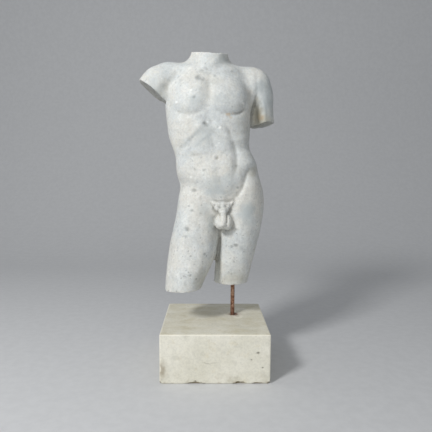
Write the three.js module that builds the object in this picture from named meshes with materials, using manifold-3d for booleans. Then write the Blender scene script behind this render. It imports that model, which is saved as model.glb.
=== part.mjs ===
// A marble torso after the antique, held by an iron rod on a marble block. Millimetres, +Z up, +Y to the
// back. The origin is the middle of the block's underside.
import * as THREE from "three";
import { mergeVertices } from "three/addons/utils/BufferGeometryUtils.js";
import { RoundedBoxGeometry } from "three/addons/geometries/RoundedBoxGeometry.js";
import Module from "manifold-3d";

const wasm = await Module();
wasm.setup();

// ---------------------------------------------------------------- driving dimensions

const BLOCK = { width: 330, depth: 330, height: 150, edge: 4 };
const ROD = { radius: 7, x: 61, y: 39, inBlock: 80, inLeg: 80, sides: 20 };
const FIT = 0.3; // clear space between the rod and its sockets
const NECK_TOP = 1004; // height of the middle of the broken neck above the floor
const LEFT_LEG_END = 267; // height of the break in the standing leg
const RIGHT_LEG_END = 258; // height of the break in the relaxed leg
const LOWEST = 226; // where the legs stop before their ends are broken off
const CELL = 16.2; // size of the carving's facets

// ---------------------------------------------------------------- small maths

const { max, min, abs, exp, hypot, sin, cos } = Math;
const clamp01 = (t) => min(1, max(0, t));
const smoothstep = (a, b, t) => {
  const s = clamp01((t - a) / (b - a));
  return s * s * (3 - 2 * s);
};

// Two masses melted into one over a seam about k wide.
const meld = (a, b, k) => {
  const h = max(k - abs(a - b), 0) / k;
  return min(a, b) - (h * h * k) / 4;
};

// A smooth curve through rows [height, value, value, ...], highest row first.
function along(rows) {
  const n = rows.length - 1;
  const slope = (i, c) => {
    const a = rows[max(i - 1, 0)];
    const b = rows[min(i + 1, n)];
    return (b[c] - a[c]) / (b[0] - a[0]);
  };
  return (z) => {
    if (z >= rows[0][0]) return rows[0];
    if (z <= rows[n][0]) return rows[n];
    let i = 0;
    while (z < rows[i + 1][0]) i++;
    const h = rows[i + 1][0] - rows[i][0];
    const t = (z - rows[i][0]) / h;
    return rows[i].map((v, c) => {
      if (c === 0) return z;
      const w = rows[i + 1][c];
      const t2 = t * t;
      const t3 = t2 * t;
      return (2 * t3 - 3 * t2 + 1) * v + (t3 - 2 * t2 + t) * h * slope(i, c)
        + (3 * t2 - 2 * t3) * w + (t3 - t2) * h * slope(i + 1, c);
    });
  };
}

// ---------------------------------------------------------------- the great masses

// Each row is one level of a mass: [height, middle x, half width, front y, back y].
const trunk = along([
  [960, -27, 92, -36, 74],
  [930, -27, 112, -54, 92],
  [900, -27, 127, -70, 104],
  [860, -24, 134, -82, 110],
  [820, -25, 136, -85, 107],
  [780, -23, 134, -82, 97],
  [740, -21, 130, -78, 84],
  [705, -16, 123, -75, 72],
  [680, -8, 122, -75, 68],
  [655, 1, 126, -77, 70],
  [625, 8, 131, -77, 80],
  [595, 15, 132, -74, 93],
  [565, 20, 133, -68, 103],
  [535, 21, 133, -60, 106],
  [505, 20, 128, -50, 100],
  [470, 18, 110, -34, 88],
  [430, 16, 70, -10, 70],
]);
const standingThigh = along([
  [580, 84, 60, -50, 100],
  [540, 88, 66, -56, 106],
  [500, 89, 68, -58, 106],
  [460, 85, 68, -57, 103],
  [420, 79, 66, -54, 98],
  [380, 71, 64, -50, 95],
  [340, 64, 62, -44, 92],
  [300, 58, 59, -38, 90],
  [260, 52, 56, -31, 88],
  [220, 47, 53, -26, 86],
]);
const relaxedThigh = along([
  [560, -56, 58, -52, 92],
  [520, -60, 62, -66, 92],
  [480, -62, 67, -76, 88],
  [440, -65, 73, -84, 80],
  [400, -70, 76, -90, 70],
  [360, -76, 76, -94, 58],
  [320, -86, 70, -98, 44],
  [285, -96, 63, -100, 32],
  [250, -103, 57, -101, 20],
  [220, -108, 54, -101, 12],
]);

const hangingArm = along([
  [930, 126, 40, -8, 76],
  [890, 141, 42, -10, 84],
  [850, 149, 39, -8, 88],
  [810, 152, 40, -2, 92],
  [770, 155, 42, 4, 94],
  [730, 156, 42, 10, 94],
]);

// The heights at which the masses made of levels stop inside the others.
const TRUNK_ENDS = { low: 440, high: 950 };
const THIGH_TOP = { standing: 575, relaxed: 555 };
const ARM_ENDS = { low: 766, high: 905 };

// How round each section is: 2 is an ellipse, more is squarer and less is nearer a diamond.
const SECTION = { trunk: 2.25, thigh: 2.2, arm: 1.8 };

// Distance-like value of a mass with rounded sections: under 0 inside.
function column(level, squareness, x, y, z) {
  const [, middle, half, front, back] = level(z);
  const depth = (back - front) / 2;
  const u = abs(x - middle) / half;
  const v = abs(y - (front + back) / 2) / depth;
  const n = squareness;
  const r = max((u ** n + v ** n) ** (1 / n), 1e-3);
  const steep = r ** (1 - n) * hypot(u ** (n - 1) / half, v ** (n - 1) / depth);
  return (r - 1) / max(steep, 0.5 / max(half, depth));
}

// A straight limb from a to b whose radius runs from ra to rb.
function limb(a, b, ra, rb) {
  const axis = b.clone().sub(a);
  const length2 = axis.lengthSq();
  return (p) => {
    const t = clamp01((p.x - a.x) * axis.x / length2 + (p.y - a.y) * axis.y / length2
      + (p.z - a.z) * axis.z / length2);
    const away = hypot(p.x - a.x - t * axis.x, p.y - a.y - t * axis.y, p.z - a.z - t * axis.z);
    return away - ra - t * (rb - ra);
  };
}

// An egg-shaped mass.
function egg(centre, radii) {
  return (p) => {
    const u = (p.x - centre.x) / radii.x;
    const v = (p.y - centre.y) / radii.y;
    const w = (p.z - centre.z) / radii.z;
    const r = max(hypot(u, v, w), 1e-3);
    return ((r - 1) * r) / max(hypot(u / radii.x, v / radii.y, w / radii.z), 1e-3);
  };
}

const at = (x, y, z) => new THREE.Vector3(x, y, z);
const neck = limb(at(-20, -2, 1050), at(-26, 26, 900), 54.5, 57);
const throatMuscle = limb(at(25, -1, 1050), at(-8, -32, 932), 20, 15);
const girdle = limb(at(-150, 28, 930), at(102, 34, 919), 45, 47);
const raisedArm = limb(at(-152, 24, 922), at(-212, 2, 877), 51, 49);
const raisedShoulder = egg(at(-188, 8, 907), at(50, 52, 54));
const hangingShoulder = limb(at(127, 34, 906), at(142, 38, 876), 53, 45);
const betweenThighs = limb(at(12, 34, 450), at(0, 20, 356), 26, 11);
const standingButtock = egg(at(84, 66, 532), at(66, 56, 66));
const relaxedButtock = egg(at(-48, 58, 508), at(64, 56, 68));

// ---------------------------------------------------------------- muscles and furrows

// Signed height of the form on top of the masses: each entry adds its own in millimetres.
const forms = [];

// A swelling over an oval patch. Its radii are [left, right, below, above] of its centre, seen from the
// front or the back, and edge says how firmly it is bounded: under 1 firm, over 1 soft.
function swell(side, [x, z], [left, right, below, above], height, edge = 1) {
  forms.push((px, pz, facing) => {
    const u = px < x ? (x - px) / left : (px - x) / right;
    const v = pz < z ? (z - pz) / below : (pz - z) / above;
    const r2 = u * u + v * v;
    return r2 < 1 ? height * (1 - r2) ** edge * facing[side] : 0;
  });
}

// A ridge (height over 0) or furrow (under 0) along a path of [x, z] points on the front or back.
function stroke(side, path, width, height) {
  forms.push((px, pz, facing) => {
    if (facing[side] === 0) return 0;
    let near = Infinity;
    for (let i = 0; i + 1 < path.length; i++) {
      const [ax, az] = path[i];
      const dx = path[i + 1][0] - ax;
      const dz = path[i + 1][1] - az;
      const t = clamp01(((px - ax) * dx + (pz - az) * dz) / (dx * dx + dz * dz));
      near = min(near, hypot(px - ax - t * dx, pz - az - t * dz));
    }
    return near < 3 * width ? height * exp(-((near / width) ** 2)) * facing[side] : 0;
  });
}

// chest
swell("front", [-88, 848], [66, 62, 42, 112], 8.5, 0.8);
swell("front", [40, 851], [64, 60, 41, 110], 8.5, 0.8);
stroke("front", [[-29, 925], [-27, 870], [-24, 815]], 11, -5);
stroke("front", [[-24, 940], [-66, 1010]], 13, 5);
stroke("front", [[-38, 940], [22, 1010]], 13, 4);
stroke("front", [[-31, 944], [-31, 930]], 13, -6);
stroke("front", [[-46, 940], [-90, 946], [-140, 956]], 11, 3);
stroke("front", [[-16, 940], [40, 944], [90, 944]], 11, 3);
stroke("front", [[-142, 930], [-152, 896], [-154, 860]], 12, -4);
stroke("front", [[92, 930], [106, 900], [114, 860]], 12, -4);
// ribs and belly
stroke("front", [[-24, 790], [-62, 752], [-108, 700]], 17, -3);
stroke("front", [[-22, 790], [18, 752], [60, 706]], 17, -3);
stroke("front", [[-22, 790], [-10, 720], [3, 674], [12, 620], [16, 570]], 11, -3);
for (const [z, middle, tall] of [[758, -17, 34], [706, -6, 32]]) {
  swell("front", [middle - 32, z], [34, 30, tall, tall], 3);
  swell("front", [middle + 32, z], [30, 34, tall, tall], 3);
}
swell("front", [8, 622], [74, 70, 70, 60], 5);
stroke("front", [[-68, 690], [-64, 640], [-48, 590]], 16, -3);
stroke("front", [[62, 700], [66, 650], [56, 600]], 15, -3);
// flanks
swell("around", [-116, 634], [50, 42, 42, 42], 4);
swell("around", [112, 662], [52, 44, 38, 46], 7);
stroke("front", [[-130, 596], [-92, 582], [-54, 558], [-20, 534]], 14, -3);
stroke("front", [[150, 640], [98, 624], [86, 598], [66, 570], [50, 540], [42, 510]], 15, -8.5);
// pubis
swell("front", [19, 516], [40, 40, 34, 26], 7, 0.8);
// thighs
stroke("front", [[108, 600], [84, 520], [52, 430]], 28, 5);
stroke("front", [[-96, 560], [-96, 440], [-104, 300]], 32, 4);
swell("front", [-58, 340], [34, 40, 60, 60], 5);
swell("front", [26, 320], [30, 30, 50, 60], 3);

// back
stroke("back", [[-25, 960], [-26, 860], [-20, 770], [-4, 700], [12, 640], [19, 590]], 16, -8);
stroke("back", [[-66, 850], [-58, 770], [-42, 700], [-26, 630]], 24, 6);
stroke("back", [[14, 850], [20, 770], [34, 700], [54, 630]], 24, 6);
swell("back", [-96, 872], [60, 46, 64, 56], 9, 0.9);
swell("back", [40, 868], [46, 60, 64, 56], 9, 0.9);
stroke("back", [[19, 590], [19, 520], [16, 440]], 15, -18);
stroke("back", [[30, 470], [80, 462], [132, 486]], 14, -7);
stroke("back", [[0, 446], [-46, 436], [-104, 462]], 14, -7);

// ---------------------------------------------------------------- the whole figure

// Under 0 inside the marble, about 1 per millimetre near its surface.
function figure(p) {
  const { x, y, z } = p;
  let body = max(column(trunk, SECTION.trunk, x, y, z), TRUNK_ENDS.low - z, z - TRUNK_ENDS.high);
  body = meld(body, meld(neck(p), girdle(p), 56), 30);
  body = meld(body, throatMuscle(p), 14);
  body = meld(body, standingButtock(p), 26);
  body = meld(body, relaxedButtock(p), 26);
  const legs = meld(
    max(column(standingThigh, SECTION.thigh, x, y, z), z - THIGH_TOP.standing),
    max(column(relaxedThigh, SECTION.thigh, x, y, z), z - THIGH_TOP.relaxed), 16);
  body = meld(body, meld(legs, betweenThighs(p), 12), 24);
  body = meld(body, meld(raisedArm(p), raisedShoulder(p), 20), 26);
  body = meld(body, hangingShoulder(p), 34);
  const arm = max(column(hangingArm, SECTION.arm, x, y, z), ARM_ENDS.low - z, z - ARM_ENDS.high);
  body = meld(body, arm, 12);

  const facing = facingAt(x, y, z);
  let raised = 0;
  for (const form of forms) raised += form(x, z, facing);
  return max(body - raised, LOWEST - z);
}

// How far a point is to the front and to the back of the mass it belongs to: 1 on the face, 0 on the side.
function facingAt(x, y, z) {
  const inLegs = smoothstep(520, 420, z);
  const inStanding = smoothstep(-10, 34, x);
  const mix = (c) => (1 - inLegs) * trunk(z)[c]
    + inLegs * (inStanding * standingThigh(z)[c] + (1 - inStanding) * relaxedThigh(z)[c]);
  const front = mix(3);
  const back = mix(4);
  const depth = (2 * y - front - back) / (back - front);
  return { front: smoothstep(0, 0.6, -depth), back: smoothstep(0, 0.6, depth), around: 1 };
}

// The y of the figure's front at x and z.
function skin(x, z) {
  let outer = -150;
  let inner = 20;
  for (let n = 0; n < 24; n++) {
    const middle = (outer + inner) / 2;
    if (figure(at(x, middle, z)) < 0) inner = middle;
    else outer = middle;
  }
  return inner;
}

// ---------------------------------------------------------------- from field to mesh

// A closed mesh of the surface where field is 0: one vertex for each cell the surface crosses, moved onto it.
function carve(field, low, high, cell) {
  const count = high.clone().sub(low).divideScalar(cell).ceil().addScalar(1);
  const [nx, ny, nz] = [count.x, count.y, count.z];
  const index = (i, j, k) => i + nx * (j + ny * k);
  const value = new Float32Array(nx * ny * nz);
  const p = new THREE.Vector3();
  for (let k = 0; k < nz; k++)
    for (let j = 0; j < ny; j++)
      for (let i = 0; i < nx; i++)
        value[index(i, j, k)] = field(p.set(i, j, k).multiplyScalar(cell).add(low));

  fillPinches(value, [nx, ny, nz], index, cell);

  const vertexOf = new Map();
  const points = [];
  for (let k = 0; k + 1 < nz; k++)
    for (let j = 0; j + 1 < ny; j++)
      for (let i = 0; i + 1 < nx; i++) {
        const middle = new THREE.Vector3();
        let crossings = 0;
        for (let c = 0; c < 8; c++)
          for (const bit of [1, 2, 4]) {
            if (c & bit) continue;
            const a = [i + (c & 1), j + ((c >> 1) & 1), k + (c >> 2)];
            const b = [a[0] + (bit === 1), a[1] + (bit === 2), a[2] + (bit === 4)];
            const fa = value[index(...a)];
            const fb = value[index(...b)];
            if (fa < 0 === fb < 0) continue;
            const t = fa / (fa - fb);
            middle.add(new THREE.Vector3(...a).lerp(new THREE.Vector3(...b), t));
            crossings++;
          }
        if (!crossings) continue;
        vertexOf.set(index(i, j, k), points.length);
        points.push(middle.multiplyScalar(cell / crossings).add(low));
      }

  const quads = [];
  const steps = [[1, 0, 0], [0, 1, 0], [0, 0, 1]];
  for (let k = 1; k + 1 < nz; k++)
    for (let j = 1; j + 1 < ny; j++)
      for (let i = 1; i + 1 < nx; i++)
        for (let axis = 0; axis < 3; axis++) {
          const d = steps[axis];
          const inside = value[index(i, j, k)] < 0;
          if (inside === value[index(i + d[0], j + d[1], k + d[2])] < 0) continue;
          const e = steps[(axis + 1) % 3];
          const f = steps[(axis + 2) % 3];
          const quad = [[0, 0], [1, 0], [1, 1], [0, 1]].map(([s, t]) => vertexOf.get(
            index(i - s * e[0] - t * f[0], j - s * e[1] - t * f[1], k - s * e[2] - t * f[2])));
          quads.push(inside ? quad : quad.reverse());
        }
  relax(points, quads, field);
  return meshOf(points, quads);
}

// Where the corners of a square of the grid are in and out by turns, the surface would touch itself. Its
// outer corners are filled.
function fillPinches(value, [nx, ny, nz], index, cell) {
  const filled = -0.05 * cell;
  const steps = [index(1, 0, 0), index(0, 1, 0), index(0, 0, 1)];
  for (let again = true; again; ) {
    again = false;
    for (let k = 0; k + 1 < nz; k++)
      for (let j = 0; j + 1 < ny; j++)
        for (let i = 0; i + 1 < nx; i++)
          for (let axis = 0; axis < 3; axis++) {
            const a = index(i, j, k);
            const [d, e] = [steps[axis], steps[(axis + 1) % 3]];
            const square = [a, a + d, a + d + e, a + e];
            const [p, q, r, s] = square.map((n) => value[n] < 0);
            if (p !== r || q !== s || p === q) continue;
            for (const n of square) if (value[n] >= 0) value[n] = filled;
            again = true;
          }
  }
}

// Evens out the facets: each vertex goes towards the mean of its neighbours, and back onto the surface.
function relax(points, quads, field, rounds = 6) {
  const neighbours = points.map(() => new Set());
  for (const quad of quads)
    quad.forEach((v, n) => {
      neighbours[v].add(quad[(n + 1) % 4]);
      neighbours[v].add(quad[(n + 3) % 4]);
    });
  for (let round = 0; round < rounds; round++) {
    const means = points.map((point, v) => {
      const mean = new THREE.Vector3();
      for (const n of neighbours[v]) mean.add(points[n]);
      return mean.divideScalar(neighbours[v].size).lerp(point, 0.5);
    });
    means.forEach((mean, v) => points[v].copy(ontoSurface(mean, field)));
  }
}

function ontoSurface(point, field) {
  const step = 0.5;
  const p = point.clone();
  for (let n = 0; n < 3; n++) {
    const f = field(p);
    const gradient = new THREE.Vector3(
      field(at(p.x + step, p.y, p.z)) - f,
      field(at(p.x, p.y + step, p.z)) - f,
      field(at(p.x, p.y, p.z + step)) - f,
    ).divideScalar(step);
    const move = clamp01(4 / abs(f || 1)) * f / max(gradient.lengthSq(), 0.25);
    p.addScaledVector(gradient, -move);
  }
  return p;
}

// Each quad is split along its shorter diagonal.
function meshOf(points, quads) {
  const faces = [];
  for (const [a, b, c, d] of quads) {
    const short = points[a].distanceToSquared(points[c]) < points[b].distanceToSquared(points[d]);
    faces.push(...(short ? [a, b, c, a, c, d] : [a, b, d, b, c, d]));
  }
  const geometry = new THREE.BufferGeometry().setFromPoints(points);
  geometry.setIndex(faces);
  return geometry;
}

// ---------------------------------------------------------------- joining and cutting

function solid(geometry, place = new THREE.Matrix4()) {
  const bare = new THREE.BufferGeometry();
  bare.setAttribute("position", geometry.getAttribute("position").clone());
  bare.setIndex(geometry.index);
  const merged = mergeVertices(bare.applyMatrix4(place), 1e-3);
  return new wasm.Manifold(new wasm.Mesh({
    numProp: 3,
    vertProperties: merged.attributes.position.array,
    triVerts: new Uint32Array(merged.index.array),
  }));
}

function geometryOf(manifold) {
  const mesh = manifold.getMesh();
  const geometry = new THREE.BufferGeometry();
  geometry.setAttribute("position", new THREE.BufferAttribute(mesh.vertProperties, 3));
  geometry.setIndex(new THREE.BufferAttribute(mesh.triVerts, 1));
  geometry.computeVertexNormals();
  return geometry;
}

// The uneven face of a break waves about six times these lengths from crest to crest.
const WAVE = { across: 17, along: 10 };

// What is broken away beyond a point: a slab whose near face is gently uneven. It lies beyond the point in
// the given direction.
function brokenAway(point, direction, [wide, deep], thick, unevenness) {
  const parts = 8;
  const slab = new THREE.BoxGeometry(wide, deep, thick, parts, parts, 1);
  const position = slab.getAttribute("position");
  for (let i = 0; i < position.count; i++) {
    if (position.getZ(i) > 0) continue;
    const u = position.getX(i) / WAVE.across + point.x;
    const v = position.getY(i) / WAVE.along + point.z;
    position.setZ(i, position.getZ(i) + unevenness * (sin(u) * cos(v) + 0.6 * sin(1.6 * v + u)));
  }
  const out = direction.clone().normalize();
  const across = at(1, 0, 0).addScaledVector(out, -out.x).normalize();
  const place = new THREE.Matrix4().makeBasis(across, out.clone().cross(across), out);
  place.setPosition(point.clone().addScaledVector(out, thick / 2));
  return solid(slab, place);
}

function rodGeometry(radius, low, high) {
  return new THREE.CylinderGeometry(radius, radius, high - low, ROD.sides)
    .rotateX(Math.PI / 2)
    .translate(ROD.x, ROD.y, (low + high) / 2);
}

// ---------------------------------------------------------------- the pieces

function torso() {
  let stone = solid(carve(figure, at(-340, -150, 190), at(230, 165, 1130), CELL));
  stone = stone.add(solid(genitals()));
  const breaks = [
    [at(-22, 0, NECK_TOP), at(0.035, -0.25, 1), [200, 240], 150, 1],
    [at(-210, 10, 886), at(-0.617, -0.1, -0.776), [136, 170], 110, 1],
    [at(-163, 10, 814), at(-1, 0, 0.06), [58, 170], 60, 0.3],
    [at(157, 48, 784), at(0.2, -0.1, -1), [92, 140], 70, 1],
    [at(ROD.x, ROD.y, LEFT_LEG_END), at(0, 0, -1), [190, 190], 90, 1.5],
    [at(-100, -40, RIGHT_LEG_END), at(0.05, 0, -1), [190, 190], 90, 1.5],
  ];
  for (const [point, direction, size, thick, unevenness] of breaks)
    stone = stone.subtract(brokenAway(point, direction, size, thick, unevenness));
  const socket = rodGeometry(ROD.radius + FIT, LEFT_LEG_END - 60, LEFT_LEG_END + ROD.inLeg + FIT);
  return stone.subtract(solid(socket));
}

function genitals() {
  const y = skin(24, 500);
  const masses = [
    egg(at(13, y - 6, 472), at(16.5, 24, 24)),
    egg(at(37, y - 6, 471), at(16.5, 24, 24)),
    limb(at(25, y + 2, 506), at(22, y - 29, 466), 14, 9.5),
  ];
  const field = (p) => masses.map((mass) => mass(p)).reduce((a, b) => meld(a, b, 7));
  return carve(field, at(-30, y - 60, 430), at(80, y + 50, 550), 7.5);
}

function block() {
  const { width, depth, height, edge } = BLOCK;
  const box = new RoundedBoxGeometry(width, depth, height, 2, edge).translate(0, 0, height / 2);
  const socket = rodGeometry(ROD.radius + FIT, height - ROD.inBlock - FIT, height + 40);
  const mouth = new THREE.CylinderGeometry(13, ROD.radius + FIT, 8, ROD.sides)
    .rotateX(Math.PI / 2)
    .translate(ROD.x, ROD.y, height - 3.9);
  let stone = solid(box).subtract(solid(socket)).subtract(solid(mouth));
  for (const chip of chips()) stone = stone.subtract(solid(chip));
  return stone;
}

// Chips knocked off the foot of the block: [x, y, how far along, in and up it reaches, turn].
function chips() {
  const [w, d] = [BLOCK.width / 2, BLOCK.depth / 2];
  const places = [
    [-62, -d, 24, 5, 7, 0.1],
    [-34, -d, 9, 4, 4, 0.5],
    [73, -d, 22, 6, 8, -0.1],
    [128, -d, 20, 5, 6, 0.2],
    [w, -d, 9, 9, 10, 0.4],
    [-w, -d, 7, 7, 9, 0.2],
    [w, 70, 6, 26, 8, 0],
    [-w, -20, 5, 30, 7, 0],
    [40, d, 34, 6, 8, 0],
    [-w, d, 10, 10, 12, 0.3],
  ];
  return places.map(([x, y, along, inward, up, turn]) => new THREE.IcosahedronGeometry(1, 0)
    .scale(along, inward, up)
    .rotateY(turn)
    .rotateZ(turn / 2)
    .translate(x, y, 0));
}

function rod() {
  return rodGeometry(ROD.radius, BLOCK.height - ROD.inBlock, LEFT_LEG_END + ROD.inLeg);
}

const marble = new THREE.MeshStandardMaterial({ color: 0xd9dad6, roughness: 0.55, metalness: 0 });
const creamMarble = new THREE.MeshStandardMaterial({ color: 0xd6d2c2, roughness: 0.5, metalness: 0 });
const rustedIron = new THREE.MeshStandardMaterial({ color: 0x8a5f49, roughness: 0.9, metalness: 0.2 });

function piece(name, geometry, material) {
  const mesh = new THREE.Mesh(geometry, material);
  mesh.name = name;
  return mesh;
}

const group = new THREE.Group();
group.add(
  piece("torso", geometryOf(torso()), marble),
  piece("iron_rod", rod(), rustedIron),
  piece("block", geometryOf(block()), creamMarble),
);
export default group;
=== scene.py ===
# %% [markdown]
# # A marble torso, an iron rod and a marble block
# The object is a fragment of a standing man in white marble. Its neck, arms and thighs are broken off. One rusted
# iron rod goes up into the left thigh and holds it over a square block of cream marble. The three solids come from
# the CAD model at their true size. Here they get what a chisel, weather and rust leave on them.

import math

import bmesh
import bpy
import numpy as np
from mathutils import Euler, Matrix, Vector, noise


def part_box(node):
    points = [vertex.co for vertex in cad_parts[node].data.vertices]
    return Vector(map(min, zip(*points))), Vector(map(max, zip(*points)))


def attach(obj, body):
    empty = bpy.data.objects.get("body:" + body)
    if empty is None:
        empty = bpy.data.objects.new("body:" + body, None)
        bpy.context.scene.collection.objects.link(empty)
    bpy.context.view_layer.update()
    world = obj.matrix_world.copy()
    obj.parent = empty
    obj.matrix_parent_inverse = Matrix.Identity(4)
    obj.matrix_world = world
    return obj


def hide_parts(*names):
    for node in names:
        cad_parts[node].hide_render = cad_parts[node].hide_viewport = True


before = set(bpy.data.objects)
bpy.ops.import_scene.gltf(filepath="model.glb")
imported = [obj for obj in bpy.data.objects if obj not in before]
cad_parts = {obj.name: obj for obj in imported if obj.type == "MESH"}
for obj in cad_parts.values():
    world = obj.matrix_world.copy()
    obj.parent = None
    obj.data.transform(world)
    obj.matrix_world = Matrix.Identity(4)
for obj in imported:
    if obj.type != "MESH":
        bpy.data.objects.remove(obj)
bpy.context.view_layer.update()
MM = 0.001  # a millimetre in metres

# %% [markdown]
# ## Camera
# The camera stands a little above the statue's waist, 1.4 m in front of it, and looks slightly down. A lens of
# about 37 mm takes in the whole height from there, and shows the top of the block as a narrow band.

# %% Make the camera
LENS_MM = 36.9
CAMERA_PLACE = (-0.022, -1.434, 0.608)
LOOKS_DOWN, LOOKS_RIGHT, LEANS = 4.81, 0.97, 0.42  # degrees
camera_data = bpy.data.cameras.new("camera")
camera_data.lens = LENS_MM
camera = bpy.data.objects.new("camera", camera_data)
look = Euler((math.radians(90 - LOOKS_DOWN), 0, math.radians(-LOOKS_RIGHT))).to_matrix()
roll = Matrix.Rotation(math.radians(LEANS), 3, "Z")
camera.matrix_world = Matrix.Translation(CAMERA_PLACE) @ (look @ roll).to_4x4()
bpy.context.scene.collection.objects.link(camera)
bpy.context.scene.camera = camera
print("camera lens in mm:", camera_data.lens)

# %% [markdown]
# ## Light
# Marble shows its carving best in light from one side, with enough light from all round to keep the shadows open.
# A lamp stands 39 degrees to the camera's left and 32 degrees up, so the shadow of the legs falls back to the right
# on the block. A wide, weak lamp by the camera and a plain grey sky open the shadows and cast hardly any of their
# own.

# %% Lamp helpers
STATUE_MIDDLE = (-0.02, 0, 0.6)


def lamp(name, place, size, power):
    """A square area lamp of that size in metres, turned towards the middle of the statue."""
    data = bpy.data.lights.new(name, "AREA")
    data.energy = power
    data.size = size
    lit = bpy.data.objects.new(name, data)
    lit.location = place
    lit.rotation_euler = (Vector(STATUE_MIDDLE) - Vector(place)).to_track_quat("-Z", "Y").to_euler()
    bpy.context.scene.collection.objects.link(lit)


def towards(turn, rise, distance):
    """A place that far away in metres, turned to the statue's right from the front and raised, in degrees."""
    a, b = math.radians(turn), math.radians(rise)
    x, y = -distance * math.cos(b) * math.sin(a), -distance * math.cos(b) * math.cos(a)
    return x, y, STATUE_MIDDLE[2] + distance * math.sin(b)


print("lamps aim at", STATUE_MIDDLE)

# %% Add the lamps and the sky
SKY_COLOUR, SKY_STRENGTH = (0.80, 0.82, 0.85, 1), 0.4
lamp("key_lamp", towards(turn=39, rise=32, distance=3.0), size=0.55, power=60)
lamp("fill_lamp", towards(turn=-2, rise=12, distance=3.4), size=2.4, power=13)
world = bpy.data.worlds.new("pale_sky")
world.use_nodes = True
world.node_tree.nodes["Background"].inputs["Color"].default_value = SKY_COLOUR
world.node_tree.nodes["Background"].inputs["Strength"].default_value = SKY_STRENGTH
bpy.context.scene.world = world
bpy.context.scene.view_settings.view_transform = "Standard"

# %% [markdown]
# ## Helpers
# A material is a small network of nodes. One helper turns a hex colour, as a colour picker gives it, into the
# linear numbers that the renderer works with. Another adds a node with its settings and links in one line. Others
# name what stone and rust have in common: shares made by noise, specks, mottling, bumps and a surface. The last ones
# read and move a mesh's points and store values on them. On a mesh, lengths are in millimetres.


# %% Colour and node helpers
def linear(hex_colour):
    """An sRGB hex colour as linear red, green, blue and alpha."""
    parts = [int(hex_colour[i : i + 2], 16) / 255 for i in (1, 3, 5)]
    return [c / 12.92 if c <= 0.04045 else ((c + 0.055) / 1.055) ** 2.4 for c in parts] + [1.0]


def add(tree, kind, inputs=None, **settings):
    """Adds a node: settings are its options, and inputs gives each socket a value or another node's output."""
    node = tree.nodes.new(kind)
    for key, value in settings.items():
        setattr(node, key, value)
    for key, value in (inputs or {}).items():
        if isinstance(value, bpy.types.NodeSocket):
            tree.links.new(value, node.inputs[key])
        else:
            node.inputs[key].default_value = value
    return node


def new_material(name):
    """An empty material and its node tree."""
    material = bpy.data.materials.new(name)
    material.use_nodes = True
    material.node_tree.nodes.clear()
    return material, material.node_tree


STONE_IOR = 1.5  # how strongly calcite bends light, about
print("white in linear light:", linear("#ffffff"))


# %% Shares and the colours they mix
def share_between(tree, value, start, end, least=0.0, most=1.0):
    """Least where the value is at start or before it, most at end or past it, and a soft change between them."""
    ranged = {"Value": value, "From Min": start, "From Max": end, "To Min": least, "To Max": most}
    return add(tree, "ShaderNodeMapRange", ranged, interpolation_type="SMOOTHSTEP").outputs[0]


def noise_share(tree, where, size, low, high, most=1.0, least=0.0, detail=4.0):
    """Least where the noise is under low, most where it is over high. Its forms are about size metres wide."""
    grown = add(tree, "ShaderNodeTexNoise", {"Vector": where, "Scale": 1 / size, "Detail": detail, "Roughness": 0.6})
    return share_between(tree, grown.outputs[0], low, high, least, most)


def height_share(tree, where, high, low, least, most):
    """Least above the high level and most below the low one, both in metres above the foot."""
    up = add(tree, "ShaderNodeSeparateXYZ", {0: where}).outputs["Z"]
    return share_between(tree, up, high, low, least, most)


def mixed(tree, share, first, second):
    """The first colour where the share is 0 and the second where it is 1. A colour is a hex or another output."""
    ends = [linear(c) if isinstance(c, str) else c for c in (first, second)]
    return add(tree, "ShaderNodeMix", {0: share, 6: ends[0], 7: ends[1]}, data_type="RGBA").outputs[2]


def times(tree, a, b):
    """The product of two shares."""
    return add(tree, "ShaderNodeMath", {0: a, 1: b}, operation="MULTIPLY").outputs[0]


print("helpers for shares and colours ready")


# %% Bent coordinates, mottling and specks
def bent_by(tree, where, size, reach):
    """Coordinates bent to and fro over that reach by a noise with forms about size wide, both in metres."""
    bend = add(tree, "ShaderNodeTexNoise", {"Vector": where, "Scale": 1 / size, "Detail": 3.0})
    shift = add(tree, "ShaderNodeVectorMath", {0: bend.outputs["Color"], 1: (0.5, 0.5, 0.5)}, operation="SUBTRACT")
    shift = add(tree, "ShaderNodeVectorMath", {0: shift.outputs[0], "Scale": reach}, operation="SCALE")
    return add(tree, "ShaderNodeVectorMath", {0: where, 1: shift.outputs[0]}, operation="ADD").outputs[0]


def mottled(tree, colour, where, size, least, most):
    """The colour made darker and lighter in spots about size metres wide."""
    factor = noise_share(tree, where, size, 0.34, 0.66, most, least, detail=3.0)
    return add(tree, "ShaderNodeVectorMath", {0: colour, "Scale": factor}, operation="SCALE").outputs[0]


def specks(tree, where, apart, size, share):
    """How strongly a speck shows: specks of that size in metres, in that share of the cells apart metres wide."""
    cells = add(tree, "ShaderNodeTexVoronoi", {"Vector": where, "Scale": 1 / apart})
    inside = share_between(tree, cells.outputs["Distance"], size / apart / 2, size / apart / 12)
    pick = add(tree, "ShaderNodeSeparateColor", {"Color": cells.outputs["Color"]})
    chosen = add(tree, "ShaderNodeMath", {0: pick.outputs[0], 1: 1 - share}, operation="GREATER_THAN").outputs[0]
    return times(tree, inside, times(tree, pick.outputs[1], chosen))


print("helpers for stone patterns ready")


# %% Written values, bumps and the surface
def laid_over(tree, colour, rows):
    """Lays colours over a colour where the mesh holds a value: rows of the value's name, a hex and what breaks it."""
    for name, top_colour, breaks in rows:
        share = add(tree, "ShaderNodeAttribute", attribute_name=name).outputs["Fac"]
        colour = mixed(tree, times(tree, share, breaks) if breaks else share, colour, top_colour)
    return colour


def grain(tree, where, size, **inputs):
    """Fine noise with forms about size metres wide."""
    return add(tree, "ShaderNodeTexNoise", {"Vector": where, "Scale": 1 / size, **inputs}).outputs[0]


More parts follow.
